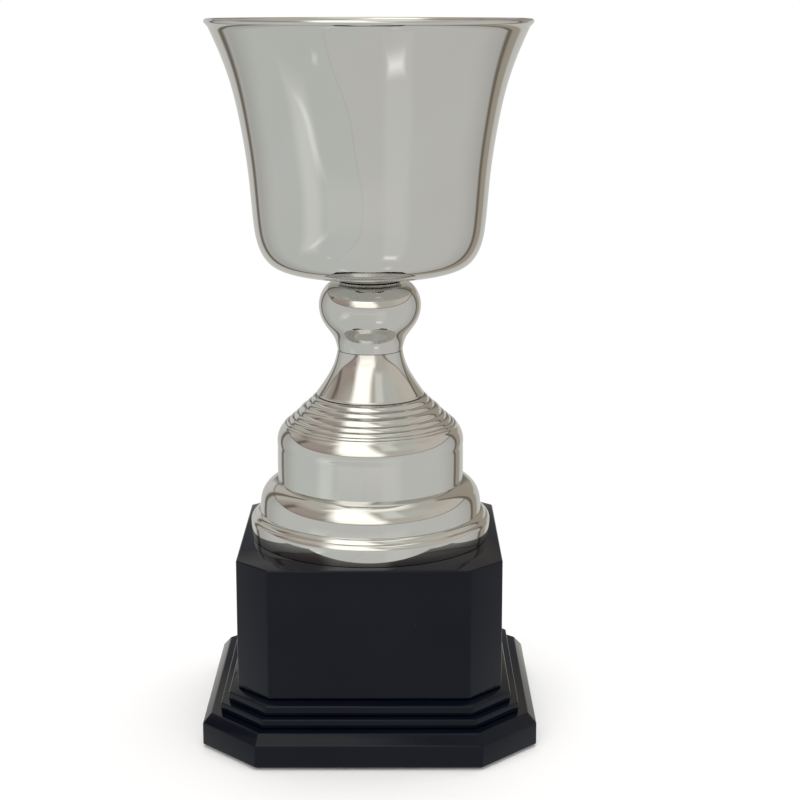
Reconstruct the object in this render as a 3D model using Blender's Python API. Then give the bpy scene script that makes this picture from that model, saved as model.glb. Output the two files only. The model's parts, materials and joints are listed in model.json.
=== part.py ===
"""Cup trophy: a turned, silver-plated cup bolted by one long rod to a black lacquered plinth.

The cup is a stack of turned pieces (foot, stem, knop, collar, bowl) held together by a threaded
tie rod. The plinth is a hollow eight-sided wooden box on two moulding boards and a slab.
Units are metres, +Z is up, and the origin is on the floor, on the axis of the cup.
"""

import math

import bmesh
import bpy
import numpy as np

MM = 0.001
GAP = 0.3 * MM  # clearance between two pieces that touch

# Driving dimensions.
BLOCK_HALF = 75 * MM  # half the side of the plinth block
BLOCK_TOP = 108.5 * MM  # height of the top of the plinth block
RIM_TOP = 298.7 * MM  # height of the cup's rim above the block
RIM_RADIUS = 92.4 * MM
KNOP_RADIUS = 29.5 * MM
WAIST_RADIUS = 18.8 * MM
STEM_FOOT_RADIUS = 31.3 * MM
DRUM_RADIUS = 54.2 * MM
FOOT_RADIUS = 70.2 * MM

# Plinth: heights of the joints between the boards, and how far each board stands out past the block.
FELT_THICKNESS = 1.2 * MM
SLAB_BOTTOM = FELT_THICKNESS + GAP
SLAB_EDGE_TOP = 14.2 * MM
SLAB_TOP = 19.8 * MM
LOWER_BOARD_TOP = 25.4 * MM
UPPER_BOARD_EDGE_TOP = 31.1 * MM
UPPER_BOARD_TOP = 33.0 * MM
TOP_BOARD_THICKNESS = 12 * MM
SLAB_OVERHANG = 19.8 * MM
SLAB_BEVEL = 4.9 * MM
LOWER_BOARD_OVERHANG = 9.6 * MM
UPPER_BOARD_OVERHANG = 5.1 * MM
FELT_INSET = 3 * MM
PANEL_THICKNESS = 9 * MM
BLOCK_CORNER_CUT = BLOCK_HALF / 4  # how much of each side the cut corner takes
CORNER_CUT_GROWTH = 0.67  # how much the cut grows for each unit of overhang
ACCESS_RADIUS = 17 * MM  # hole through the boards, for a socket on the rod's nut
GLUE_BLOCK_WIDTH = 18 * MM
GLUE_BLOCK_DEPTH = 16 * MM

# Rod and fasteners (M8, and 4 mm wood screws).
ROD_RADIUS = 4 * MM
BORE_RADIUS = ROD_RADIUS + GAP
ROD_CLEARANCE = 5 * MM  # radius of the hole in each turned piece
NUT_ACROSS_FLATS = 13 * MM
NUT_HEIGHT = 6.5 * MM
DOME_NUT_HEIGHT = 15 * MM
WASHER_THICKNESS = 1.6 * MM
WASHER_RADIUS = 12 * MM
SPRING_WASHER_THICKNESS = 2 * MM
SPRING_WASHER_RADIUS = 7.4 * MM
ROD_TAIL = 4 * MM  # thread left showing below the lower nut
SCREW_RADIUS = 2 * MM
SCREW_HEAD_RADIUS = 4 * MM
SCREW_HEAD_HEIGHT = 2.4 * MM
SCREW_LENGTH = 50 * MM

# Turned pieces.
BOWL_WALL = 1.5 * MM
RIM_BEAD = 1.6 * MM  # radius of the rolled rim
BOWL_BOTTOM = 154.6 * MM
BOWL_FLOOR_RADIUS = 24 * MM  # the flat of the bowl's floor, where the washer sits
COLLAR_RADIUS = 18.5 * MM
COLLAR_HEIGHT = 3.6 * MM
COLLAR_ROUND = 0.8 * MM
KNOP_TOP = BOWL_BOTTOM - COLLAR_HEIGHT - 2 * GAP
WAIST_HEIGHT = 110 * MM
FOOT_TOP = 83.2 * MM
FOOT_WALL = 1.5 * MM
DISC_RADIUS = 27 * MM
DISC_THICKNESS = 2 * MM

LARGE_SIDES = 40
SMALL_SIDES = 24

SMOOTH_ANGLE = math.radians(35)
CORNERS = ("front_right", "back_right", "back_left", "front_left")
SIDES = ("right", "back", "left", "front")


def material(name, colour, roughness, metallic=0.0):
    made = bpy.data.materials.new(name)
    made.use_nodes = True
    shader = made.node_tree.nodes["Principled BSDF"]
    shader.inputs["Base Color"].default_value = (*colour, 1)
    shader.inputs["Roughness"].default_value = roughness
    shader.inputs["Metallic"].default_value = metallic
    return made


def add_object(name, bm, finish, height=0.0):
    """Turns a bmesh into a named object, shaded smooth except across real edges."""
    bmesh.ops.recalc_face_normals(bm, faces=bm.faces)
    mesh = bpy.data.meshes.new(name)
    bm.to_mesh(mesh)
    bm.free()
    mesh.shade_smooth()
    mesh.set_sharp_from_angle(angle=SMOOTH_ANGLE)
    made = bpy.data.objects.new(name, mesh)
    made.location.z = height
    bpy.context.scene.collection.objects.link(made)
    if finish:
        mesh.materials.append(finish)
    return made


def as_cutter(made):
    """A helper that only cuts other objects: it isn't part of the trophy."""
    made.hide_render = True
    made.display_type = "WIRE"
    return made


def cut(target, *cutters):
    for cutter in cutters:
        boolean = target.modifiers.new(cutter.name, "BOOLEAN")
        boolean.operation = "DIFFERENCE"
        boolean.solver = "EXACT"
        boolean.object = cutter


# Outlines are lists of (radius, height). Those of the cup are measured from the top of the block.


def in_mm(*points):
    return [(radius * MM, height * MM) for radius, height in points]


def bulged(start, end, bulge, steps=2):
    """Points after start, up to end, on a curve that stands out from the straight line by bulge."""
    start, end = np.array(start), np.array(end)
    along = end - start
    outward = np.array([-along[1], along[0]]) / np.linalg.norm(along)
    shares = [(i + 1) / steps for i in range(steps)]
    return [tuple(start + along * t + outward * bulge * 4 * t * (1 - t)) for t in shares]


def smooth_through(knots, count):
    """A natural cubic spline through the knots, read at count points spaced evenly along it."""
    knots = np.array(knots)
    lengths = np.linalg.norm(np.diff(knots, axis=0), axis=1)
    at = np.concatenate([[0], np.cumsum(lengths)])
    system = np.eye(len(knots))
    right = np.zeros_like(knots)
    for i in range(1, len(knots) - 1):
        before, after = lengths[i - 1], lengths[i]
        system[i, i - 1 : i + 2] = before, 2 * (before + after), after
        right[i] = 6 * ((knots[i + 1] - knots[i]) / after - (knots[i] - knots[i - 1]) / before)
    bend = np.linalg.solve(system, right)
    points = []
    for s in np.linspace(0, at[-1], count):
        i = min(int(np.searchsorted(at, s, side="right")) - 1, len(lengths) - 1)
        h, after, before = lengths[i], s - at[i], at[i + 1] - s
        point = (bend[i] * before**3 + bend[i + 1] * after**3) / (6 * h)
        point += (knots[i] / h - bend[i] * h / 6) * before
        point += (knots[i + 1] / h - bend[i + 1] * h / 6) * after
        points.append(tuple(point))
    return points


def moved_in(outline, distance):
    """The outline moved towards its inner side, square to its own direction."""
    points = np.array(outline)
    along = np.gradient(points, axis=0)
    outward = np.column_stack([-along[:, 1], along[:, 0]])
    outward /= np.linalg.norm(outward, axis=1)[:, None]
    return [tuple(p) for p in points - outward * distance]


def turned(name, outline, finish, sides=LARGE_SIDES, height=0.0, closed=True):
    """Spins an outline about the Z axis. An outline that isn't closed starts and ends on the axis."""
    bm = bmesh.new()
    verts = [bm.verts.new((radius, 0, z)) for radius, z in outline]
    pairs = list(zip(verts, verts[1:]))
    if closed:
        pairs.append((verts[-1], verts[0]))
    edges = [bm.edges.new(pair) for pair in pairs]
    bmesh.ops.spin(
        bm,
        geom=verts + edges,
        cent=(0, 0, 0),
        axis=(0, 0, 1),
        angle=math.tau,
        steps=sides,
        use_merge=True,
    )
    bmesh.ops.remove_doubles(bm, verts=bm.verts, dist=0.001 * MM)
    return add_object(name, bm, finish, height)


def tube_outline(inner, outer, bottom, top):
    return [(inner, top), (outer, top), (outer, bottom), (inner, bottom)]


def stacked(name, sections, finish, height=0.0):
    """A solid through several level sections: the first is a face, extruded to each of the others."""
    bm = bmesh.new()
    base = top = bm.faces.new([bm.verts.new(point) for point in sections[0]])
    for section in sections[1:]:
        grown = bmesh.ops.extrude_face_region(bm, geom=[top])
        if top is not base:
            bm.faces.remove(top)
        top = next(item for item in grown["geom"] if isinstance(item, bmesh.types.BMFace))
        for vert, place in zip(top.verts, section):
            vert.co = place
    return add_object(name, bm, finish, height)


def eight_sided(overhang, z):
    """A level outline of the plinth: a square with cut corners that stands out past the block."""
    half = BLOCK_HALF + overhang
    short = half - BLOCK_CORNER_CUT - CORNER_CUT_GROWTH * overhang
    quarter = [(half, -short), (half, short)]
    turns = [(1, 0), (0, 1), (-1, 0), (0, -1)]
    return [(x * c - y * s, x * s + y * c, z) for c, s in turns for x, y in quarter]


def board(name, sections, finish):
    return stacked(name, [eight_sided(overhang, z) for overhang, z in sections], finish)


# The cup.


def bowl(finish):
    bead_radius, bead_height = RIM_RADIUS - RIM_BEAD, RIM_TOP - RIM_BEAD
    knots = [(bead_radius, bead_height - RIM_BEAD)]
    knots += in_mm((85.4, 283.5), (78.2, 263.5), (72.9, 240), (68.7, 211), (66.4, 185))
    knots += in_mm((64, 171.8), (57.4, 161), (46, 156.2), (35, 154.9))
    knots.append((BOWL_FLOOR_RADIUS, BOWL_BOTTOM))
    outer = smooth_through(knots, 15)
    inner = moved_in(outer, BOWL_WALL)
    bead = [
        (bead_radius + RIM_BEAD * math.cos(a), bead_height + RIM_BEAD * math.sin(a))
        for a in map(math.radians, (170, 120, 70, 20, -30))
    ]
    floor = BOWL_BOTTOM + BOWL_WALL
    across = [(ROD_CLEARANCE, BOWL_BOTTOM), (ROD_CLEARANCE, floor), (BOWL_FLOOR_RADIUS, floor)]
    return turned("cup_bowl", bead + outer + across + inner[-2::-1], finish, height=BLOCK_TOP)


def collar(finish):
    bottom = KNOP_TOP + GAP
    top = bottom + COLLAR_HEIGHT
    shoulder = COLLAR_RADIUS - COLLAR_ROUND
    edge = bulged((shoulder, top), (shoulder, bottom), COLLAR_ROUND, 4)
    outline = [(ROD_CLEARANCE, top), (shoulder, top), *edge, (ROD_CLEARANCE, bottom)]
    return turned("neck_collar", outline, finish, SMALL_SIDES, BLOCK_TOP)


def knop(finish):
    """The bulb between bowl and stem, cored out around the rod."""
    bottom = WAIST_HEIGHT + GAP / 2
    knots = [(17 * MM, KNOP_TOP)]
    knots += in_mm((22.4, 149.5), (26.2, 146.2))
    knots.append((KNOP_RADIUS, 137 * MM))
    knots += in_mm((26.6, 125.8), (20.4, 116.4))
    knots.append((WAIST_RADIUS, bottom))
    core = [(ROD_CLEARANCE, bottom), (ROD_CLEARANCE, 121 * MM)]
    core += in_mm((15, 128), (15, 141))
    core += [(ROD_CLEARANCE, 146 * MM), (ROD_CLEARANCE, KNOP_TOP)]
    return turned("knop", smooth_through(knots, 11) + core, finish, height=BLOCK_TOP)


def stem(finish):
    """The trumpet between knop and foot, cored out from below."""
    top = WAIST_HEIGHT - GAP / 2
    bottom = FOOT_TOP + GAP
    knots = [(WAIST_RADIUS, top)]
    knots += in_mm((20.4, 103.2), (24.4, 94.7))
    knots.append((STEM_FOOT_RADIUS - 0.4 * MM, bottom + 1.4 * MM))
    edge = [(STEM_FOOT_RADIUS, bottom + 0.6 * MM), (STEM_FOOT_RADIUS - 0.3 * MM, bottom)]
    core = [(19 * MM, bottom), (12 * MM, 96 * MM), (ROD_CLEARANCE, 103 * MM), (ROD_CLEARANCE, top)]
    return turned("stem", smooth_through(knots, 7) + edge + core, finish, height=BLOCK_TOP)


def foot(finish):
    """A spun shell: rings down the shoulder, a straight drum, then two quarter rounds to its edge."""
    rings = in_mm((31.6, 83.2), (34.4, 80.2), (37.4, 77.4), (41.6, 73.4), (44.4, 70.8))
    rings += in_mm((47.2, 68.5), (49, 67.2), (50.6, 65.8))
    outer = rings[:1]
    for ring in rings[1:]:
        outer += bulged(outer[-1], ring, 0.6 * MM)
    outer += bulged(outer[-1], (DRUM_RADIUS, 54.5 * MM), 1.4 * MM, 4)
    outer.append((DRUM_RADIUS, 33.4 * MM))
    outer += bulged(outer[-1], (64.2 * MM, 22.4 * MM), 2.2 * MM, 4)
    outer.append((64.9 * MM, 15.4 * MM))
    outer += bulged(outer[-1], (FOOT_RADIUS, 9 * MM), 1.2 * MM, 3)
    outer.append((FOOT_RADIUS - 0.7 * MM, GAP))
    ceiling = FOOT_TOP - FOOT_WALL
    inner = [(FOOT_RADIUS - 3.2 * MM, GAP)]
    inner += in_mm((67.6, 8.4), (63.2, 13.9), (62.4, 21.6), (60, 27.2), (52.6, 31.8))
    inner += in_mm((52.4, 56), (48.8, 64.2))
    inner += [(30 * MM, ceiling), (ROD_CLEARANCE, ceiling), (ROD_CLEARANCE, FOOT_TOP)]
    return turned("foot", outer + inner, finish, height=BLOCK_TOP)


def foot_disc(finish):
    """A steel disc under the top of the foot, so that the rod's pull doesn't dish the thin shell."""
    top = FOOT_TOP - FOOT_WALL - GAP
    outline = tube_outline(ROD_CLEARANCE, DISC_RADIUS, top - DISC_THICKNESS, top)
    return turned("foot_stiffening_disc", outline, finish, SMALL_SIDES, BLOCK_TOP)


# Fasteners.


def flat_washer(name, bottom, finish):
    outline = tube_outline(BORE_RADIUS, WASHER_RADIUS, bottom, bottom + WASHER_THICKNESS)
    return turned(name, outline, finish, SMALL_SIDES)


def spring_washer(name, bottom, finish):
    """A split ring: a rectangular section swept most of the way round."""
    top = bottom + SPRING_WASHER_THICKNESS
    section = tube_outline(BORE_RADIUS, SPRING_WASHER_RADIUS, bottom, top)
    bm = bmesh.new()
    face = bm.faces.new([bm.verts.new((radius, 0, z)) for radius, z in section])
    bmesh.ops.spin(
        bm,
        geom=[face, *face.edges, *face.verts],
        cent=(0, 0, 0),
        axis=(0, 0, 1),
        angle=math.radians(345),
        steps=SMALL_SIDES,
    )
    return add_object(name, bm, finish)


def hexagon(z):
    radius = NUT_ACROSS_FLATS / math.sqrt(3)
    turns = [math.tau * i / 6 for i in range(6)]
    return [(radius * math.cos(a), radius * math.sin(a), z) for a in turns]


def bore_cutter(name, bottom, top):
    outline = [(0, top), (BORE_RADIUS, top), (BORE_RADIUS, bottom), (0, bottom)]
    return as_cutter(turned(name, outline, None, SMALL_SIDES, closed=False))


def hex_nut(name, bottom, finish):
    top = bottom + NUT_HEIGHT
    nut = stacked(name, [hexagon(bottom), hexagon(top)], finish)
    cut(nut, bore_cutter(name + "_bore", bottom - MM, top + MM))
    return nut


def dome_nut(name, bottom, finish):
    """A hexagon with a round cap over the end of the rod, and a blind bore from below."""
    shoulder = bottom + NUT_HEIGHT
    nut = stacked(name, [hexagon(bottom), hexagon(shoulder)], finish)
    cap_radius = NUT_ACROSS_FLATS / 2 - 0.3 * MM
    cap_height = DOME_NUT_HEIGHT - NUT_HEIGHT
    turns = [math.radians(a) for a in (90, 65, 40, 20, 0)]
    dome = [(cap_radius * math.cos(a), shoulder + cap_height * math.sin(a)) for a in turns]
    dome += [(cap_radius, shoulder - MM), (0, shoulder - MM)]
    cap = as_cutter(turned(name + "_cap", dome, None, SMALL_SIDES, closed=False))
    join = nut.modifiers.new("cap", "BOOLEAN")
    join.operation = "UNION"
    join.solver = "EXACT"
    join.object = cap
    cut(nut, bore_cutter(name + "_bore", bottom - MM, bottom + NUT_HEIGHT + 3 * MM))
    return nut


def fasteners_in_bowl(finish):
    """Washers and dome nut on the bowl's floor. Returns the height of the nut's underside."""
    height = BLOCK_TOP + BOWL_BOTTOM + BOWL_WALL + GAP
    flat_washer("cup_flat_washer", height, finish)
    height += WASHER_THICKNESS + GAP
    spring_washer("cup_spring_washer", height, finish)
    height += SPRING_WASHER_THICKNESS + GAP
    dome_nut("cup_dome_nut", height, finish)
    return height


def fasteners_in_base(finish):
    """Washers and nut under the top board. Returns the height of the nut's underside."""
    height = BLOCK_TOP - TOP_BOARD_THICKNESS - GAP - WASHER_THICKNESS
    flat_washer("base_flat_washer", height, finish)
    height -= GAP + SPRING_WASHER_THICKNESS
    spring_washer("base_spring_washer", height, finish)
    height -= GAP + NUT_HEIGHT
    hex_nut("base_hex_nut", height, finish)
    return height


def tie_rod(bottom, top, finish):
    chamfer = 0.8 * MM
    outline = [
        (0, top),
        (ROD_RADIUS - chamfer, top),
        (ROD_RADIUS, top - chamfer),
        (ROD_RADIUS, bottom + chamfer),
        (ROD_RADIUS - chamfer, bottom),
        (0, bottom),
    ]
    return turned("tie_rod", outline, finish, SMALL_SIDES, closed=False)


# The plinth.


def corner_spot(index, distance):
    """A point on the diagonal through a corner, that far from the axis."""
    turn = math.radians(-45 + 90 * index)
    return distance * math.cos(turn), distance * math.sin(turn), turn


def screw_distance():
    """How far the screws and the middles of the glue blocks are from the axis."""
    corner_face = (2 * BLOCK_HALF - BLOCK_CORNER_CUT) / math.sqrt(2)
    return corner_face - PANEL_THICKNESS - GAP - GLUE_BLOCK_DEPTH / 2


def screw_outline(spare):
    """Half of a countersunk screw's section, or of its hole where spare is above zero."""
    head_bottom = SLAB_BOTTOM + GAP - spare
    neck = head_bottom + SCREW_HEAD_HEIGHT
    tip = SLAB_BOTTOM + GAP + SCREW_LENGTH + spare
    return [
        (0, tip),
        (SCREW_RADIUS + spare, tip - 5 * MM),
        (SCREW_RADIUS + spare, neck),
        (SCREW_HEAD_RADIUS + spare, head_bottom),
        (0, head_bottom),
    ]


def at_corner(made, index):
    x, y, _ = corner_spot(index, screw_distance())
    made.location.x, made.location.y = x, y
    return made


def access_cutter():
    outline = [(0, UPPER_BOARD_TOP + MM), (ACCESS_RADIUS, UPPER_BOARD_TOP + MM)]
    outline += [(ACCESS_RADIUS, -MM), (0, -MM)]
    return as_cutter(turned("access_hole", outline, None, SMALL_SIDES, closed=False))


def boards(lacquer, felt_finish, holes):
    slab_sections = [
        (SLAB_OVERHANG, SLAB_BOTTOM),
        (SLAB_OVERHANG, SLAB_EDGE_TOP),
        (SLAB_OVERHANG - SLAB_BEVEL, SLAB_TOP),
    ]
    lower_sections = [
        (LOWER_BOARD_OVERHANG, SLAB_TOP + GAP),
        (LOWER_BOARD_OVERHANG, LOWER_BOARD_TOP),
    ]
    upper_sections = [
        (UPPER_BOARD_OVERHANG, LOWER_BOARD_TOP + GAP),
        (UPPER_BOARD_OVERHANG, UPPER_BOARD_EDGE_TOP),
        (0, UPPER_BOARD_TOP),
    ]
    felt_overhang = SLAB_OVERHANG - FELT_INSET
    felt = board("felt_sheet", [(felt_overhang, 0), (felt_overhang, FELT_THICKNESS)], felt_finish)
    cut(felt, holes[0])
    cut(board("plinth_slab", slab_sections, lacquer), *holes)
    cut(board("lower_moulding_board", lower_sections, lacquer), *holes)
    cut(board("upper_moulding_board", upper_sections, lacquer), *holes)
    top_board = board("base_top_board", [(0, BLOCK_TOP - TOP_BOARD_THICKNESS), (0, BLOCK_TOP)], lacquer)
    cut(top_board, bore_cutter("rod_hole", BLOCK_TOP - 2 * TOP_BOARD_THICKNESS, BLOCK_TOP + MM))


def panels(lacquer):
    """The eight mitred panels round the block, each between two outer and two inner corners."""
    bottom = UPPER_BOARD_TOP + GAP
    top = BLOCK_TOP - TOP_BOARD_THICKNESS - GAP
    outer = np.array(eight_sided(0, 0))
    corner_share = math.tan(math.radians(22.5))
    for index in range(8):
        start, end = outer[index], outer[(index + 1) % 8]
        along = (end - start) / np.linalg.norm(end - start)
        inward = np.array([-along[1], along[0], 0])
        mitre = PANEL_THICKNESS * corner_share
        section = [
            start + along * GAP / 2,
            end - along * GAP / 2,
            end - along * (mitre + GAP / 2) + inward * PANEL_THICKNESS,
            start + along * (mitre + GAP / 2) + inward * PANEL_THICKNESS,
        ]
        if index % 2 == 0:
            name = SIDES[index // 2] + "_panel"
        else:
            name = CORNERS[(index // 2 + 1) % 4] + "_corner_panel"
        sections = [[(x, y, z) for x, y, _ in section] for z in (bottom, top)]
        stacked(name, sections, lacquer)


def glue_blocks(finish, holes):
    bottom = UPPER_BOARD_TOP + GAP
    top = BLOCK_TOP - TOP_BOARD_THICKNESS - GAP
    half_depth, half_width = GLUE_BLOCK_DEPTH / 2, GLUE_BLOCK_WIDTH / 2
    corners = [(1, -1), (1, 1), (-1, 1), (-1, -1)]
    for index, corner in enumerate(CORNERS):
        sections = [
            [(a * half_depth, b * half_width, z) for a, b in corners] for z in (bottom, top)
        ]
        post = stacked(corner + "_glue_block", sections, finish)
        at_corner(post, index).rotation_euler.z = corner_spot(index, 1)[2]
        cut(post, holes[index])


def screws(finish):
    for index, corner in enumerate(CORNERS):
        screw = turned(corner + "_screw", screw_outline(0), finish, SMALL_SIDES // 2, closed=False)
        at_corner(screw, index)


def screw_holes():
    made = []
    for index, corner in enumerate(CORNERS):
        hole = turned(corner + "_hole", screw_outline(GAP), None, SMALL_SIDES // 2, closed=False)
        made.append(as_cutter(at_corner(hole, index)))
    return made


def main():
    for old in list(bpy.data.objects):
        bpy.data.objects.remove(old)
    silver = material("silver_plate", (0.78, 0.76, 0.72), 0.06, 1.0)
    steel = material("zinc_plated_steel", (0.55, 0.56, 0.58), 0.3, 1.0)
    lacquer = material("black_lacquer", (0.008, 0.009, 0.013), 0.08)
    softwood = material("softwood", (0.55, 0.38, 0.2), 0.7)
    felt = material("black_felt", (0.012, 0.012, 0.013), 0.95)

    holes = screw_holes()
    boards(lacquer, felt, [access_cutter(), *holes])
    panels(lacquer)
    glue_blocks(softwood, holes)
    screws(steel)

    foot(silver)
    foot_disc(steel)
    stem(silver)
    knop(silver)
    collar(silver)
    bowl(silver)
    dome_bottom = fasteners_in_bowl(steel)
    nut_bottom = fasteners_in_base(steel)
    tie_rod(nut_bottom - ROD_TAIL, dome_bottom + NUT_HEIGHT + 2 * MM, steel)


main()
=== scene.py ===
"""Looks of the cup trophy: mirror-polished turned metal on a black lacquered plinth, in a light tent.

The stiffening disc, the glue blocks and the wood screws keep their CAD shape. Units are metres, +Z is up
and the front of the plinth faces -Y.
"""

import json
import math

import bmesh
import bpy
import numpy as np
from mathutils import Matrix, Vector


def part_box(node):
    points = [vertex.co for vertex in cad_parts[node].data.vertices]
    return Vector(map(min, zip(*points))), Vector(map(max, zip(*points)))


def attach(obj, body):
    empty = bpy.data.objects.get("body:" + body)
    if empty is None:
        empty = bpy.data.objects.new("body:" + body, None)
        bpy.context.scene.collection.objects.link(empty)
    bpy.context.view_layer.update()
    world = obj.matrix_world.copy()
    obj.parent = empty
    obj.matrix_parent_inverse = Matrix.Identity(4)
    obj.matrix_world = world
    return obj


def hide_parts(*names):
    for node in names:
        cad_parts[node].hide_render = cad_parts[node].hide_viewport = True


MM = 0.001
SIDES = 256  # steps round a large turned piece
SMALL_SIDES = 96  # steps round a bore or a fastener
WELD = 0.001 * MM  # points closer than this are one point

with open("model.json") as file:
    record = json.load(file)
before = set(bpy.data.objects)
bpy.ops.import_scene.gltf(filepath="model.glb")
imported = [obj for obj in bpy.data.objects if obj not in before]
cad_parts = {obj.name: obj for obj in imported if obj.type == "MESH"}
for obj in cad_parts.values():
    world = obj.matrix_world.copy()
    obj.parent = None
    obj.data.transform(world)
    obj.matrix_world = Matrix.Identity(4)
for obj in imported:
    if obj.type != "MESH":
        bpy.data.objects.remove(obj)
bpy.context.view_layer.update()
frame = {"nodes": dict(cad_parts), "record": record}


# Node helpers.


class Nodes:
    """A short way to write one material's node tree."""

    def __init__(self, owner):
        self.tree = owner.node_tree
        self.tree.nodes.clear()

    def add(self, kind, inputs=None, **settings):
        node = self.tree.nodes.new(kind)
        for name, value in settings.items():
            setattr(node, name, value)
        for name, value in (inputs or {}).items():
            if isinstance(value, bpy.types.NodeSocket):
                self.tree.links.new(value, node.inputs[name])
            else:
                node.inputs[name].default_value = value
        return node

    def maths(self, operation, first, second=0.0):
        node = self.add("ShaderNodeMath", {0: first, 1: second}, operation=operation)
        return node.outputs[0]

    def between(self, value, low, high, to_low=0.0, to_high=1.0, **settings):
        """The value's place between low and high, clamped, spread from to_low to to_high."""
        inputs = {"Value": value, 1: low, 2: high, 3: to_low, 4: to_high}
        return self.add("ShaderNodeMapRange", inputs, **settings).outputs[0]

    def mixed(self, share, first, second):
        inputs = {"Factor": share, "A": first, "B": second}
        node = self.add("ShaderNodeMix", data_type="RGBA")
        for name, value in inputs.items():
            socket = next(s for s in node.inputs if s.name == name and s.enabled)
            if isinstance(value, bpy.types.NodeSocket):
                self.tree.links.new(value, socket)
            else:
                socket.default_value = value
        return next(s for s in node.outputs if s.enabled)

    def noise(self, place, scale, detail=2.0, roughness=0.5):
        inputs = {"Vector": place, "Scale": scale, "Detail": detail, "Roughness": roughness}
        return self.add("ShaderNodeTexNoise", inputs).outputs["Fac"]


def new_material(name):
    made = bpy.data.materials.new(name)
    made.use_nodes = True
    return made, Nodes(made)


def finished(nodes, shader):
    nodes.add("ShaderNodeOutputMaterial", {"Surface": shader.outputs[0]})


# Materials.

WHITE = (1, 1, 1, 1)
PLATE_CLEAN = (0.66, 0.66, 0.635, 1)
PLATE_TARNISHED = (0.63, 0.622, 0.59, 1)
LACQUER_DEEP = (0.0012, 0.0026, 0.0075, 1)
LACQUER_CLOUDY = (0.0024, 0.004, 0.0095, 1)
LACQUER_SPECK = (0.03, 0.03, 0.032, 1)
ZINC_DARK = (0.42, 0.43, 0.45, 1)
ZINC_LIGHT = (0.62, 0.62, 0.6, 1)
PINE_PALE = (0.56, 0.38, 0.2, 1)
PINE_DARK = (0.38, 0.23, 0.1, 1)
PINE_PORE = (0.25, 0.15, 0.07, 1)
FELT_DARK = (0.009, 0.009, 0.01, 1)
FELT_LIGHT = (0.02, 0.02, 0.022, 1)
FELT_LINT = (0.07, 0.07, 0.075, 1)
FLOOR_COOL = (0.93, 0.945, 0.98, 1)
FLOOR_PALE = (0.955, 0.965, 0.995, 1)


def silver_plate():
    """Bright plate: nearly a mirror, with the faint turning lines and hand marks of a polished spinning."""
    made, nodes = new_material("silver_plate_polished")
    place = nodes.add("ShaderNodeTexCoord").outputs["Object"]
    apart = nodes.add("ShaderNodeSeparateXYZ", {"Vector": place})
    x, y, z = apart.outputs
    squares = [nodes.maths("MULTIPLY", side, side) for side in (x, y)]
    radius = nodes.maths("SQRT", nodes.maths("ADD", *squares))
    rings = nodes.add("ShaderNodeCombineXYZ", {"X": radius, "Y": 0.0, "Z": z}).outputs[0]
    turning = nodes.noise(rings, 1600.0, 3.0)
    smudges = nodes.noise(place, 38.0, 5.0, 0.62)
    tarnish = nodes.noise(place, 9.0, 4.0, 0.55)
    colour = nodes.mixed(nodes.between(tarnish, 0.35, 0.7), PLATE_CLEAN, PLATE_TARNISHED)
    roughness = nodes.between(smudges, 0.42, 0.72, 0.035, 0.085)
    waves = nodes.noise(place, 14.0, 1.0)
    bump = nodes.add("ShaderNodeBump", {"Height": waves, "Strength": 0.12, "Distance": 0.4 * MM})
    inputs = {"Height": turning, "Strength": 0.04, "Distance": 0.02 * MM, "Normal": bump.outputs[0]}
    bump = nodes.add("ShaderNodeBump", inputs)
    inputs = {"Base Color": colour, "Metallic": 1.0, "Roughness": roughness, "Normal": bump.outputs[0]}
    finished(nodes, nodes.add("ShaderNodeBsdfPrincipled", inputs))
    return made


def black_lacquer():
    """Sprayed gloss lacquer: a deep blue-black with a little orange peel and a dusting of fine specks."""
    made, nodes = new_material("black_lacquer_gloss")
    place = nodes.add("ShaderNodeTexCoord").outputs["Object"]
    cloud = nodes.noise(place, 22.0, 4.0)
    colour = nodes.mixed(nodes.between(cloud, 0.3, 0.7), LACQUER_DEEP, LACQUER_CLOUDY)
    specks = nodes.between(nodes.noise(place, 900.0, 2.0), 0.74, 0.8)
    colour = nodes.mixed(specks, colour, LACQUER_SPECK)
    haze = nodes.noise(place, 60.0, 4.0, 0.6)
    roughness = nodes.between(haze, 0.35, 0.75, 0.05, 0.1)
    peel = nodes.noise(place, 420.0, 2.0)
    bump = nodes.add("ShaderNodeBump", {"Height": peel, "Strength": 0.1, "Distance": 0.05 * MM})
    inputs = {
        "Base Color": colour,
        "Roughness": roughness,
        "Specular IOR Level": 0.2,
        "Normal": bump.outputs[0],
    }
    finished(nodes, nodes.add("ShaderNodeBsdfPrincipled", inputs))
    return made


def bright_steel():
    """Zinc-plated steel: grey, with a fine crystal mottle and rubbed high spots."""
    made, nodes = new_material("zinc_plated_steel")
    place = nodes.add("ShaderNodeTexCoord").outputs["Object"]
    mottle = nodes.noise(place, 700.0, 4.0, 0.65)
    colour = nodes.mixed(nodes.between(mottle, 0.3, 0.7), ZINC_DARK, ZINC_LIGHT)
    roughness = nodes.between(nodes.noise(place, 240.0, 3.0), 0.3, 0.7, 0.22, 0.42)
    bump = nodes.add("ShaderNodeBump", {"Height": mottle, "Strength": 0.15, "Distance": 0.03 * MM})
    inputs = {"Base Color": colour, "Metallic": 1.0, "Roughness": roughness, "Normal": bump.outputs[0]}
    finished(nodes, nodes.add("ShaderNodeBsdfPrincipled", inputs))
    return made


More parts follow.
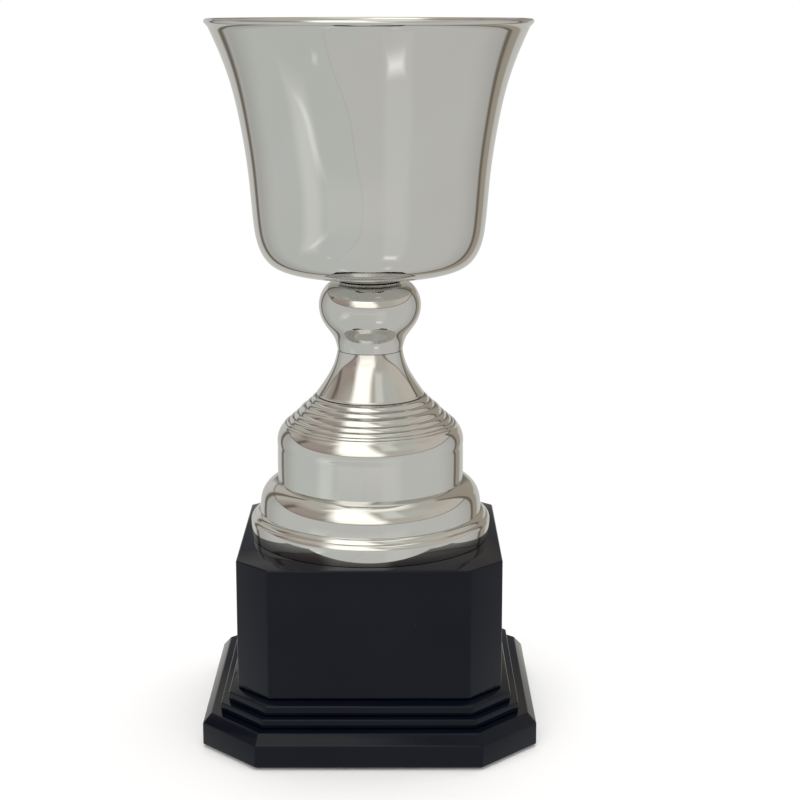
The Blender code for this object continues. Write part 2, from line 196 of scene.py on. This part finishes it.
def softwood():
    """Planed pine: growth rings drawn out along the height, with fine pores."""
    made, nodes = new_material("softwood_planed")
    place = nodes.add("ShaderNodeTexCoord").outputs["Object"]
    stretched = nodes.add("ShaderNodeMapping", {"Vector": place, "Scale": (1.0, 1.0, 0.06)}).outputs[0]
    inputs = {"Vector": stretched, "Scale": 90.0, "Distortion": 5.0, "Detail": 3.0}
    rings = nodes.add("ShaderNodeTexWave", inputs, wave_type="RINGS").outputs["Fac"]
    pores = nodes.noise(stretched, 900.0, 3.0)
    colour = nodes.mixed(rings, PINE_PALE, PINE_DARK)
    colour = nodes.mixed(nodes.between(pores, 0.5, 0.8, 0.0, 0.5), colour, PINE_PORE)
    bump = nodes.add("ShaderNodeBump", {"Height": rings, "Strength": 0.2, "Distance": 0.1 * MM})
    inputs = {"Base Color": colour, "Roughness": 0.7, "Normal": bump.outputs[0]}
    finished(nodes, nodes.add("ShaderNodeBsdfPrincipled", inputs))
    return made


def black_felt():
    """Pressed felt: matted fibres, a little lint, and a soft edge glow."""
    made, nodes = new_material("black_felt_fibres")
    place = nodes.add("ShaderNodeTexCoord").outputs["Object"]
    fibres = nodes.noise(place, 1500.0, 6.0, 0.75)
    clumps = nodes.noise(place, 160.0, 4.0)
    colour = nodes.mixed(nodes.between(clumps, 0.3, 0.7), FELT_DARK, FELT_LIGHT)
    lint = nodes.between(fibres, 0.66, 0.74)
    colour = nodes.mixed(lint, colour, FELT_LINT)
    bump = nodes.add("ShaderNodeBump", {"Height": fibres, "Strength": 0.8, "Distance": 0.3 * MM})
    inputs = {
        "Base Color": colour,
        "Roughness": 1.0,
        "Sheen Weight": 0.5,
        "Sheen Roughness": 0.6,
        "Normal": bump.outputs[0],
    }
    finished(nodes, nodes.add("ShaderNodeBsdfPrincipled", inputs))
    return made


# Mesh helpers. Outlines of turned pieces are lists of (radius, height).

TURNS = [math.tau * i / SMALL_SIDES for i in range(SMALL_SIDES)]


def add_piece(name, bm, finish, nodes_replaced, smooth_angle=40):
    bmesh.ops.recalc_face_normals(bm, faces=bm.faces)
    mesh = bpy.data.meshes.new(name)
    bm.to_mesh(mesh)
    bm.free()
    mesh.shade_smooth()
    mesh.set_sharp_from_angle(angle=math.radians(smooth_angle))
    mesh.materials.append(finish)
    piece = bpy.data.objects.new(name, mesh)
    bpy.context.scene.collection.objects.link(piece)
    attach(piece, "root")
    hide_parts(*nodes_replaced)


def circle(radius, z):
    return [(radius * math.cos(a), radius * math.sin(a), z) for a in TURNS]


def in_mm(*points):
    return [(radius * MM, height * MM) for radius, height in points]


def arc(start, end, bulge, steps=10):
    """Points after start, up to end, on a circular arc that stands out from the chord by bulge."""
    start, end = np.array(start), np.array(end)
    chord = np.linalg.norm(end - start)
    along = (end - start) / chord
    outward = np.array([-along[1], along[0]])
    radius = (chord**2 / 4 + bulge**2) / (2 * abs(bulge))
    half_angle = math.asin(min(1.0, chord / 2 / radius))
    side = math.copysign(1.0, bulge)
    centre = (start + end) / 2 - outward * side * (radius - abs(bulge))
    turns = [half_angle * (2 * (i + 1) / steps - 1) for i in range(steps)]
    return [tuple(centre + radius * (along * math.sin(t) + outward * side * math.cos(t))) for t in turns]


def smooth_through(knots, count):
    """A natural cubic spline through the knots, read at count points spaced evenly along it."""
    knots = np.array(knots)
    lengths = np.linalg.norm(np.diff(knots, axis=0), axis=1)
    at = np.concatenate([[0], np.cumsum(lengths)])
    system = np.eye(len(knots))
    right = np.zeros_like(knots)
    for i in range(1, len(knots) - 1):
        before, after = lengths[i - 1], lengths[i]
        system[i, i - 1 : i + 2] = before, 2 * (before + after), after
        right[i] = 6 * ((knots[i + 1] - knots[i]) / after - (knots[i] - knots[i - 1]) / before)
    bend = np.linalg.solve(system, right)
    points = []
    for s in np.linspace(0, at[-1], count):
        i = min(int(np.searchsorted(at, s, side="right")) - 1, len(lengths) - 1)
        h, after, before = lengths[i], s - at[i], at[i + 1] - s
        point = (bend[i] * before**3 + bend[i + 1] * after**3) / (6 * h)
        point += (knots[i] / h - bend[i] * h / 6) * before
        point += (knots[i + 1] / h - bend[i + 1] * h / 6) * after
        points.append(tuple(point))
    return points


def moved_in(outline, distance):
    """The outline moved towards its inner side, square to its own direction."""
    points = np.array(outline)
    along = np.gradient(points, axis=0)
    outward = np.column_stack([-along[:, 1], along[:, 0]])
    outward /= np.linalg.norm(outward, axis=1)[:, None]
    return [tuple(p) for p in points - outward * distance]


def spun(outline, sides=SIDES, closed=True, base=0.0):
    """A bmesh turned from an outline whose heights start from base."""
    bm = bmesh.new()
    verts = [bm.verts.new((radius, 0, z + base)) for radius, z in outline]
    pairs = list(zip(verts, verts[1:]))
    if closed:
        pairs.append((verts[-1], verts[0]))
    edges = [bm.edges.new(pair) for pair in pairs]
    bmesh.ops.spin(
        bm,
        geom=verts + edges,
        cent=(0, 0, 0),
        axis=(0, 0, 1),
        angle=math.tau,
        steps=sides,
        use_merge=True,
    )
    bmesh.ops.remove_doubles(bm, verts=bm.verts, dist=WELD)
    return bm


# The cup. Heights of its outlines are measured from the top of the plinth block.

BLOCK_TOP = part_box("base_top_board")[1].z
ROD_CLEARANCE = 5 * MM
BOWL_WALL = 1.5 * MM
RIM_BEAD = 1.6 * MM  # radius of the rolled rim
BOWL_FLOOR_RADIUS = 24 * MM
COLLAR_ROUND = 0.8 * MM  # how far the collar's edge bulges


def above_block(node):
    """The lowest and highest level of a node, from the top of the block, and its largest radius."""
    low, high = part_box(node)
    return low.z - BLOCK_TOP, high.z - BLOCK_TOP, high.x


def bowl(silver):
    bottom, top, radius = above_block("cup_bowl")
    bead_radius, bead_height = radius - RIM_BEAD, top - RIM_BEAD
    knots = [(bead_radius, bead_height - RIM_BEAD)]
    knots += in_mm((85.4, 283.5), (78.2, 263.5), (72.9, 240), (68.7, 211), (66.4, 185))
    knots += in_mm((64, 171.8), (57.4, 161), (46, 156.2), (35, 154.9))
    knots.append((BOWL_FLOOR_RADIUS, bottom))
    outer = smooth_through(knots, 110)
    outer = [(r, max(z, bottom)) for r, z in outer]
    inner = moved_in(outer, BOWL_WALL)
    bead = [
        (bead_radius + RIM_BEAD * math.cos(a), bead_height + RIM_BEAD * math.sin(a))
        for a in map(math.radians, range(190, -61, -10))
    ]
    floor = bottom + BOWL_WALL
    across = [(ROD_CLEARANCE, bottom), (ROD_CLEARANCE, floor), (BOWL_FLOOR_RADIUS, floor)]
    outline = bead + outer[1:] + across + inner[-2:0:-1]
    add_piece("bowl_shell", spun(outline, base=BLOCK_TOP), silver, ["cup_bowl"])


def collar(silver):
    bottom, top, radius = above_block("neck_collar")
    half = (top - bottom) / 2
    middle = (bottom + top) / 2
    edge = [
        (radius - COLLAR_ROUND + COLLAR_ROUND * math.cos(a), middle + half * math.sin(a))
        for a in map(math.radians, range(90, -91, -12))
    ]
    outline = [(ROD_CLEARANCE, top), *edge, (ROD_CLEARANCE, bottom)]
    add_piece("collar_ring", spun(outline, base=BLOCK_TOP), silver, ["neck_collar"])


def knop(silver):
    """The bulb, with only a plain bore for the rod: the casting's wider core is left out."""
    bottom, top, radius = above_block("knop")
    knots = [(17 * MM, top)]
    knots += in_mm((22.4, 149.5), (26.2, 146.2))
    knots.append((radius, 137 * MM))
    knots += in_mm((26.6, 125.8), (20.4, 116.4), (18.8, 110))
    outer = smooth_through(knots, 70)
    core = [(ROD_CLEARANCE, bottom), (ROD_CLEARANCE, top)]
    outline = [(r, max(z, bottom)) for r, z in outer] + core
    add_piece("knop_bulb", spun(outline, base=BLOCK_TOP), silver, ["knop"])


def stem(silver):
    bottom, top, radius = above_block("stem")
    knots = [(18.8 * MM, top)]
    knots += in_mm((20.4, 103.2), (24.4, 94.7))
    knots.append((radius - 0.4 * MM, bottom + 1.4 * MM))
    outer = smooth_through(knots, 50)
    edge = arc(outer[-1], (radius - 0.3 * MM, bottom), 0.3 * MM, 8)
    core = in_mm((19, 83.5), (12, 96))
    core += [(ROD_CLEARANCE, 103 * MM), (ROD_CLEARANCE, top)]
    add_piece("stem_trumpet", spun(outer + edge + core, base=BLOCK_TOP), silver, ["stem"])


RING_BULGE = 0.16  # how far each ring stands out, as a share of its width
DRUM_RADIUS = 54.2 * MM


def foot(silver):
    """Rings down the shoulder, a straight drum, then two quarter rounds to the edge."""
    bottom, top, radius = above_block("foot")
    ring_edges = in_mm((31.6, 83.2), (34.4, 80.2), (37.4, 77.4), (41.6, 73.4), (44.4, 70.8))
    ring_edges += in_mm((47.2, 68.5), (49, 67.2), (50.6, 65.8))
    outer = [(ring_edges[0][0] - 2 * MM, top), ring_edges[0]]
    for edge in ring_edges[1:]:
        chord = math.dist(outer[-1], edge)
        outer += arc(outer[-1], edge, RING_BULGE * chord)
    outer += arc(outer[-1], (DRUM_RADIUS, 54.5 * MM), 1.4 * MM, 24)
    outer += arc(outer[-1], (DRUM_RADIUS, 33.4 * MM), 0.1 * MM, 12)
    outer += arc(outer[-1], (64.2 * MM, 22.4 * MM), 2.2 * MM, 24)
    outer += arc(outer[-1], (64.9 * MM, 15.4 * MM), 0.15 * MM, 8)
    outer += arc(outer[-1], (67.9 * MM, 12.6 * MM), 0.5 * MM, 12)
    outer += arc(outer[-1], (radius, 9 * MM), 0.7 * MM, 12)
    outer += arc(outer[-1], (radius - 0.7 * MM, bottom), 0.2 * MM, 8)
    inner = [(radius - 3.2 * MM, bottom)]
    inner += in_mm((67.6, 8.4), (63.2, 13.9), (62.4, 21.6), (60, 27.2), (52.6, 31.8))
    inner += in_mm((52.4, 56), (48.8, 64.2), (30, 81.7))
    inner += [(ROD_CLEARANCE, 81.7 * MM), (ROD_CLEARANCE, top)]
    add_piece("foot_shell", spun(outer + inner, base=BLOCK_TOP), silver, ["foot"])


# The plinth. Each level section is an eight-sided outline: a square whose corners are cut.

CORNERS = ("front_right", "back_right", "back_left", "front_left")
CUT_GROWTH = 0.67  # how fast the corner cut grows with the outline
BLOCK_WALL = 9 * MM
BLOCK_ROUND = 0.9 * MM
BOARD_ROUND = 0.7 * MM
FELT_ROUND = 0.2 * MM
ACCESS_RADIUS = 17 * MM  # the hole for a socket on the lower nut
SLAB_EDGE = 12.7 * MM  # height of the slab's upright edge, below its bevel
SLAB_BEVEL = 4.9 * MM  # how far the bevel leans in
MOULDING_SLOPE = 1.9 * MM  # height of the slope from the upper moulding to the block


def block_half():
    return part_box("base_top_board")[1].x


def eight_sided(half, z):
    """Eight corners of a level outline. The cut grows with the outline, as the mitred boards' does."""
    cut = block_half() / 4 + CUT_GROWTH * (half - block_half())
    short = half - cut
    quarter = [(half, -short), (half, short)]
    turns = [(1, 0), (0, 1), (-1, 0), (0, -1)]
    return [Vector((x * c - y * s, x * s + y * c, z)) for c, s in turns for x, y in quarter]


def layered(sections):
    """A bmesh through level sections, with a bottom and a top, and the round access hole through both."""
    bm = bmesh.new()
    rings = [[bm.verts.new(point) for point in section] for section in sections]
    for low, high in zip(rings, rings[1:]):
        for i in range(len(low)):
            j = (i + 1) % len(low)
            bm.faces.new((low[i], low[j], high[j], high[i]))
    bores = []
    for ring in (rings[0], rings[-1]):
        bore = [bm.verts.new(point) for point in circle(ACCESS_RADIUS, ring[0].co.z)]
        edges = [bm.edges.new(pair) for pair in zip(bore, bore[1:] + bore[:1])]
        edges += [bm.edges.get(pair) for pair in zip(ring, ring[1:] + ring[:1])]
        bmesh.ops.triangle_fill(bm, edges=edges, use_beauty=True)
        bores.append(bore)
    for i in range(SMALL_SIDES):
        j = (i + 1) % SMALL_SIDES
        bm.faces.new((bores[0][i], bores[0][j], bores[1][j], bores[1][i]))
    return bm


def rounded(bm, radius, angle=20, segments=4):
    """Rounds every edge that turns by more than an angle."""
    bmesh.ops.recalc_face_normals(bm, faces=bm.faces)
    edges = [e for e in bm.edges if e.is_manifold and e.calc_face_angle(0) > math.radians(angle)]
    bmesh.ops.bevel(
        bm,
        geom=edges,
        offset=radius,
        segments=segments,
        profile=0.5,
        affect="EDGES",
        clamp_overlap=True,
    )
    return bm


def board(name, node, profile, finish, edge_round):
    """A mitred board: profile lists how far in from its edge it is, and at what height."""
    low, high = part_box(node)
    sections = [eight_sided(high.x - inset, z) for inset, z in profile(low.z, high.z, high.x)]
    add_piece(name, rounded(layered(sections), edge_round), finish, [node], 30)


def upright(low, high, _):
    return [(0, low), (0, high)]


def bevelled(low, high, _):
    return [(0, low), (0, low + SLAB_EDGE), (SLAB_BEVEL, high)]


def sloped_to_block(low, high, half):
    return [(0, low), (0, high - MOULDING_SLOPE), (half - block_half(), high)]


def boards(lacquer):
    rows = (
        ("slab_lacquered", "plinth_slab", bevelled),
        ("lower_moulding", "lower_moulding_board", upright),
        ("upper_moulding", "upper_moulding_board", sloped_to_block),
    )
    for name, node, profile in rows:
        board(name, node, profile, lacquer, BOARD_ROUND)


def block(lacquer):
    """The block's panels and top board: one lacquered body outside, hollow inside and open below."""
    half = block_half()
    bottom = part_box("front_panel")[0].z
    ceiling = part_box("base_top_board")[0].z
    shrink = (half - BLOCK_WALL) / half
    bm = bmesh.new()
    outer = [[bm.verts.new(p) for p in eight_sided(half, z)] for z in (bottom, BLOCK_TOP)]
    inner = [
        [bm.verts.new((p.x * shrink, p.y * shrink, z)) for p in eight_sided(half, z)]
        for z in (bottom, ceiling)
    ]
    for i in range(8):
        j = (i + 1) % 8
        bm.faces.new((outer[0][i], outer[0][j], outer[1][j], outer[1][i]))
        bm.faces.new((inner[0][j], inner[0][i], inner[1][i], inner[1][j]))
        bm.faces.new((outer[0][j], outer[0][i], inner[0][i], inner[0][j]))
    bm.faces.new(outer[1])
    bm.faces.new(reversed(inner[1]))
    names = ["base_top_board", "front_panel", "right_panel", "back_panel", "left_panel"]
    names += [corner + "_corner_panel" for corner in CORNERS]
    add_piece("block_lacquered", rounded(bm, BLOCK_ROUND), lacquer, names, 30)


# Fasteners, all on the axis of the tie rod.

BORE_RADIUS = 4.3 * MM
HALF_NUT = 6.5 * MM  # half the distance across a nut's flats
CHAMFER_SLOPE = math.tan(math.radians(30))
SPLIT = math.radians(15)  # the gap in a spring washer
SPLIT_CLIMB = 0.25  # how far the split ring climbs, as a share of its height
SPLIT_ROUND = 0.2 * MM
WASHER_ROUND = 0.25 * MM
THREAD_PITCH = 1.25 * MM
THREAD_DEPTH = 0.65 * MM
THREADED = 18 * MM  # length of the thread at each end of the rod
BORE_CHAMFER = 0.4 * MM
HEXAGON_HEIGHT = 6.5 * MM  # of the dome nut, below its cap
CAP_STEP = 0.4 * MM  # how far the cap stands in from the flats
CAP_FILLET = 0.2 * MM
CAP_NECK = 1.6 * MM  # height of the cap's straight part
BLIND_BORE = 9.5 * MM


def nut_corners(z, slope):
    """Where the six flats meet the cone that takes off the nut's corners."""
    reaches = [HALF_NUT / math.cos(a % (math.tau / 6) - math.tau / 12) for a in TURNS]
    return [(r * math.cos(a), r * math.sin(a), z + (r - HALF_NUT) * slope) for r, a in zip(reaches, TURNS)]


def lofted(rings, closed=True):
    """A bmesh through rings of points. If closed, the last is joined to the first."""
    bm = bmesh.new()
    made = [[bm.verts.new(point) for point in ring] for ring in rings]
    pairs = list(zip(made, made[1:]))
    if closed:
        pairs.append((made[-1], made[0]))
    for first, second in pairs:
        for i in range(len(first)):
            j = (i + 1) % len(first)
            bm.faces.new((first[i], first[j], second[j], second[i]))
    bmesh.ops.remove_doubles(bm, verts=bm.verts, dist=WELD)
    return bm


def flat_washer(place, steel):
    low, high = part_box(place + "_flat_washer")
    corners = [(BORE_RADIUS, low.z), (high.x, low.z), (high.x, high.z), (BORE_RADIUS, high.z)]
    bm = rounded(lofted([circle(radius, z) for radius, z in corners]), WASHER_ROUND, 60, 3)
    add_piece(place + "_washer_plain", bm, steel, [place + "_flat_washer"])


def spring_washer(place, steel):
    """A split ring that climbs a little on its way round, so that its cut ends stand apart."""
    low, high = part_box(place + "_spring_washer")
    climb = SPLIT_CLIMB * (high.z - low.z)
    thickness = high.z - low.z - climb
    sections = []
    for i in range(SMALL_SIDES + 1):
        share = i / SMALL_SIDES
        a = (math.tau - SPLIT) * share
        z = low.z + climb * share
        corners = [(BORE_RADIUS, z), (high.y, z), (high.y, z + thickness), (BORE_RADIUS, z + thickness)]
        sections.append([(radius * math.cos(a), radius * math.sin(a), height) for radius, height in corners])
    bm = lofted(sections, closed=False)
    bm.verts.ensure_lookup_table()
    bm.faces.new(bm.verts[:4])
    bm.faces.new(bm.verts[-4:])
    bmesh.ops.recalc_face_normals(bm, faces=bm.faces)
    bm = rounded(bm, SPLIT_ROUND, 60, 2)
    add_piece(place + "_washer_split", bm, steel, [place + "_spring_washer"])


def base_nut(steel):
    low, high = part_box("base_hex_nut")
    mouth = BORE_RADIUS + BORE_CHAMFER
    rings = [circle(mouth, low.z), circle(HALF_NUT, low.z), nut_corners(low.z, CHAMFER_SLOPE)]
    rings += [nut_corners(high.z, -CHAMFER_SLOPE), circle(HALF_NUT, high.z), circle(mouth, high.z)]
    rings += [circle(BORE_RADIUS, high.z - BORE_CHAMFER), circle(BORE_RADIUS, low.z + BORE_CHAMFER)]
    add_piece("base_nut_chamfered", lofted(rings), steel, ["base_hex_nut"], 30)


def dome_nut(steel):
    """A hexagon under a round cap, with a blind bore from below."""
    low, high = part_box("cup_dome_nut")
    shoulder = low.z + HEXAGON_HEIGHT
    cap = HALF_NUT - CAP_STEP
    rings = [circle(radius, low.z + BLIND_BORE) for radius in (0, BORE_RADIUS)]
    rings += [circle(BORE_RADIUS, low.z), circle(HALF_NUT, low.z), nut_corners(low.z, CHAMFER_SLOPE)]
    rings += [nut_corners(shoulder, -CHAMFER_SLOPE), circle(HALF_NUT, shoulder)]
    rings.append(circle(cap, shoulder + CAP_FILLET))
    neck = shoulder + CAP_NECK
    for degrees in range(0, 91, 6):
        a = math.radians(degrees)
        rings.append(circle(cap * math.cos(a), neck + (high.z - neck) * math.sin(a)))
    bm = lofted(rings, closed=False)
    add_piece("cup_nut_domed", bm, steel, ["cup_dome_nut"], 30)


def tie_rod(steel):
    """A plain rod with a cut thread at each end."""
    low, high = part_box("tie_rod")
    step = THREAD_PITCH / 4
    heights = [*np.arange(low.z, low.z + THREADED, step), *np.arange(high.z - THREADED, high.z, step), high.z]
    rings = [circle(0, low.z), circle(high.x - THREAD_DEPTH, low.z)]
    for z in heights[1:-1]:
        ring = []
        for a in TURNS:
            phase = (z / THREAD_PITCH - a / math.tau) % 1
            radius = high.x - THREAD_DEPTH * abs(2 * phase - 1)
            ring.append((radius * math.cos(a), radius * math.sin(a), z))
        rings.append(ring)
    rings += [circle(high.x - THREAD_DEPTH, high.z), circle(0, high.z)]
    add_piece("tie_rod_threaded", lofted(rings, closed=False), steel, ["tie_rod"])


def main():
    silver = silver_plate()
    lacquer = black_lacquer()
    steel = bright_steel()
    pine = softwood()
    felt = black_felt()
    for piece in (bowl, collar, knop, stem, foot):
        piece(silver)
    boards(lacquer)
    block(lacquer)
    board("felt_pad", "felt_sheet", upright, felt, FELT_ROUND)
    for place in ("cup", "base"):
        flat_washer(place, steel)
        spring_washer(place, steel)
    dome_nut(steel)
    base_nut(steel)
    tie_rod(steel)
    finishes = {"zinc_plated_steel": steel, "softwood": pine, "black_felt": felt, "black_lacquer": lacquer}
    for row in frame["record"]["subparts"]:
        node = frame["nodes"][row["node"]]
        if row["material_slot"] in finishes and not node.hide_render:
            node.data.materials.clear()
            node.data.materials.append(finishes[row["material_slot"]])
    studio()
    camera()


# Studio. The metal and the lacquer are mirrors, so the tent around them is what gives them their looks.

SHEET = (0.685, 0.682, 0.672)  # the pale cloth below and in front
WALLS = (0.6, 0.57, 0.52)
BACK = (0.64, 0.63, 0.6)
EDGE = (0.2, 0.17, 0.14)
HORIZON = 7.0  # elevation of the cloth's upper edge at the front
HORIZON_RISE = 0.0009  # how fast the edge climbs towards the sides
HIGHEST_RISE = 12.0
HORIZON_BLUR = 0.5  # degrees on each side over which cloth turns into walls
LINE_CORE, LINE_EDGE = 0.4, 1.4  # degrees from the horizon where its dark line starts to fade and ends
LINE_STRENGTH = 0.8
FADE_START, FADE_END = 0.08, 0.34  # distances at which the floor starts and ends its fade to white
SOFTBOX_PLACE = (0.1, 0.3, 1.6)
SOFTBOX_TARGET = (0, 0, 0.1)
SOFTBOX_SIDE = 1.6
SOFTBOX_POWER = 17

# What hangs in the tent: azimuth and elevation of its middle, half its width and height, how soft its
# edges are, how far it leans (degrees of azimuth for each of elevation), and its colour. Azimuth 0 is the
# front, and positive azimuths are on the right.
ON_WALLS = (
    ("ceiling", 0, 86, 180, 18, 14, 0.0, (1.25, 1.22, 1.16)),
    ("left_curtain", -88, 22, 34, 22, 16, 0.3, (0.45, 0.39, 0.345)),
    ("left_fold", -104, 20, 5, 16, 8, 0.2, EDGE),
    ("left_hem", -68, 15, 20, 5, 8, 0.0, (0.42, 0.34, 0.325)),
    ("window", -22, 43, 27, 25, 20, -0.4, (1.75, 1.7, 1.6)),
    ("window_top", -42, 66, 26, 10, 18, 0.0, (1.7, 1.65, 1.55)),
    ("window_foot", -10, 15, 24, 5, 16, 0.0, (1.75, 1.68, 1.56)),
    ("top_cloth", 30, 50, 13, 16, 12, 0.0, (0.82, 0.83, 0.78)),
    ("right_cloth", 62, 42, 20, 12, 16, 0.0, (0.62, 0.64, 0.6)),
    ("right_curtain", 96, 26, 34, 14, 16, 0.3, (0.68, 0.63, 0.57)),
)
ON_CLOTH = (
    ("left_sheet", -82, -31, 60, 18, 1.6, 1.1, (0.66, 0.682, 0.662)),
    ("left_low_sheet", -78, -74, 69, 26, 1.6, 0.0, (0.66, 0.682, 0.662)),
    ("seam", -22, -31, 0.4, 16, 1.6, 1.1, (0.6, 0.59, 0.575)),
    ("left_glow", -60, -20, 9, 10, 14, 0.8, (0.8, 0.815, 0.785)),
    ("front_glow", 27, -26, 12, 22, 9, 0.0, (0.735, 0.735, 0.715)),
    ("front_band", -4, -13, 34, 2, 12, 0.0, (0.78, 0.765, 0.74)),
    ("left_streak", -56, -23, 2.5, 3, 7, 2.2, (1.05, 1.06, 1.02)),
    ("right_spot", 25, -42, 6, 1.5, 8, 0.0, (1.3, 1.3, 1.26)),
    ("small_spot", -48, -41, 2, 1, 2.5, 0.0, (0.9, 0.92, 0.88)),
    ("low_spot", -58, -70, 4, 2, 8, 0.0, (1.0, 1.02, 1.0)),
    ("low_right_spot", 34, -66, 4, 2, 8, 0.0, (1.0, 1.0, 0.98)),
    ("left_shade", -128, -14, 8, 60, 44, 0.0, (0.47, 0.47, 0.445)),
    ("right_shade", 128, -14, 10, 60, 56, 0.0, (0.48, 0.47, 0.45)),
)
AROUND = (
    ("left_gap", -139, -20, 4, 70, 6, 0.0, EDGE),
    ("right_back", 152, -20, 22, 70, 5, 0.0, (0.42, 0.38, 0.315)),
    ("right_gap", 130, -20, 3, 70, 4, 0.0, EDGE),
    ("back", 180, -45, 34, 50, 5, 0.0, BACK),
    ("dark_back", 180, 15, 16, 7, 10, 0.0, (0.2, 0.2, 0.2)),
)


def coloured(colour):
    return (*colour, 1.0)


def stage_mesh(name, bm, finish):
    mesh = bpy.data.meshes.new(name)
    bm.to_mesh(mesh)
    bm.free()
    mesh.materials.append(finish)
    made = bpy.data.objects.new(name, mesh)
    bpy.context.scene.collection.objects.link(made)


def floor():
    """A pale floor that fades to white, and that mirrors don't see: they see the tent's sheet."""
    made, nodes = new_material("pale_floor")
    place = nodes.add("ShaderNodeTexCoord").outputs["Object"]
    cloud = nodes.noise(place, 3.0, 3.0)
    near = nodes.add("ShaderNodeBsdfDiffuse", {"Color": nodes.mixed(cloud, FLOOR_COOL, FLOOR_PALE)})
    far = nodes.add("ShaderNodeEmission", {"Color": WHITE})
    distance = nodes.add("ShaderNodeVectorMath", {0: place}, operation="LENGTH").outputs["Value"]
    fade = nodes.between(distance, FADE_START, FADE_END)
    seen = nodes.add("ShaderNodeMixShader", {0: fade, 1: near.outputs[0], 2: far.outputs[0]})
    unseen = nodes.add("ShaderNodeBsdfTransparent")
    mirrored = nodes.add("ShaderNodeLightPath").outputs["Is Glossy Ray"]
    inputs = {0: mirrored, 1: seen.outputs[0], 2: unseen.outputs[0]}
    finished(nodes, nodes.add("ShaderNodeMixShader", inputs))
    bm = bmesh.new()
    bmesh.ops.create_grid(bm, x_segments=2, y_segments=2, size=6)
    stage_mesh("studio_floor", bm, made)


def hung(nodes, colour, hangings, azimuth, elevation):
    """The colour with each hanging laid over it in turn."""
    for _, middle, height, half_width, half_height, softness, lean, shade in hangings:
        up = nodes.maths("SUBTRACT", elevation, height)
        centre = nodes.maths("ADD", nodes.maths("MULTIPLY", up, lean), middle)
        across = nodes.maths("SUBTRACT", azimuth, centre)
        across = nodes.add("ShaderNodeMath", {0: across, 1: 180.0, 2: -180.0}, operation="WRAP").outputs[0]
        wide = nodes.maths("SUBTRACT", nodes.maths("ABSOLUTE", across), half_width)
        high = nodes.maths("SUBTRACT", nodes.maths("ABSOLUTE", up), half_height)
        outside = nodes.maths("MAXIMUM", wide, high)
        share = nodes.between(outside, -softness / 2, softness / 2, 1.0, 0.0, interpolation_type="SMOOTHSTEP")
        colour = nodes.mixed(share, colour, coloured(shade))
    return colour


def tent():
    """The world: white where the camera looks past the floor, and the tent for everything else."""
    world = bpy.data.worlds.new("light_tent")
    bpy.context.scene.world = world
    world.use_nodes = True
    nodes = Nodes(world)
    direction = nodes.add("ShaderNodeTexCoord").outputs["Generated"]
    x, y, z = nodes.add("ShaderNodeSeparateXYZ", {"Vector": direction}).outputs
    back = nodes.maths("MULTIPLY", y, -1.0)
    azimuth = nodes.maths("DEGREES", nodes.maths("ARCTAN2", x, back))
    elevation = nodes.maths("DEGREES", nodes.maths("ARCSINE", z))
    walls = hung(nodes, coloured(WALLS), ON_WALLS, azimuth, elevation)
    cloth = hung(nodes, coloured(SHEET), ON_CLOTH, azimuth, elevation)
    rise = nodes.maths("MULTIPLY", nodes.maths("MULTIPLY", azimuth, azimuth), HORIZON_RISE)
    level = nodes.maths("SUBTRACT", elevation, nodes.maths("MINIMUM", rise, HIGHEST_RISE))
    colour = nodes.mixed(nodes.between(level, HORIZON - HORIZON_BLUR, HORIZON + HORIZON_BLUR), cloth, walls)
    line = nodes.maths("ABSOLUTE", nodes.maths("SUBTRACT", level, HORIZON))
    drawn = nodes.between(line, LINE_CORE, LINE_EDGE, LINE_STRENGTH, 0.0)
    colour = nodes.mixed(drawn, colour, coloured(EDGE))
    colour = hung(nodes, colour, AROUND, azimuth, elevation)
    path = nodes.add("ShaderNodeLightPath")
    colour = nodes.mixed(path.outputs["Is Camera Ray"], colour, WHITE)
    light = nodes.add("ShaderNodeBackground", {"Color": colour, "Strength": 1.0})
    nodes.add("ShaderNodeOutputWorld", {"Surface": light.outputs[0]})


def softbox():
    light = bpy.data.lights.new("top_softbox", "AREA")
    light.shape = "RECTANGLE"
    light.size = light.size_y = SOFTBOX_SIDE
    light.energy = SOFTBOX_POWER
    made = bpy.data.objects.new("top_softbox", light)
    made.location = SOFTBOX_PLACE
    aim = Vector(SOFTBOX_TARGET) - Vector(SOFTBOX_PLACE)
    made.rotation_euler = aim.to_track_quat("-Z", "Y").to_euler()
    made.visible_glossy = False
    bpy.context.scene.collection.objects.link(made)


def studio():
    scene = bpy.context.scene
    scene.view_settings.view_transform = "Standard"
    floor()
    tent()
    softbox()


# A level camera with a large shift would lose the object in every other view, so this one tilts down and
# shifts only slightly.
CAMERA_PLACE = (15.6 * MM, -1.0, 415 * MM)
CAMERA_PITCH = 11.22
CAMERA_YAW = 0.1
CAMERA_LENS = 79.0
CAMERA_SHIFT = -0.06


def camera():
    data = bpy.data.cameras.new("camera")
    data.sensor_width = 36
    data.lens = CAMERA_LENS
    data.shift_y = CAMERA_SHIFT
    data.clip_start, data.clip_end = 0.01, 50
    made = bpy.data.objects.new("camera", data)
    made.location = CAMERA_PLACE
    made.rotation_euler = (math.radians(90 - CAMERA_PITCH), 0, math.radians(-CAMERA_YAW))
    bpy.context.scene.collection.objects.link(made)
    bpy.context.scene.camera = made


main()
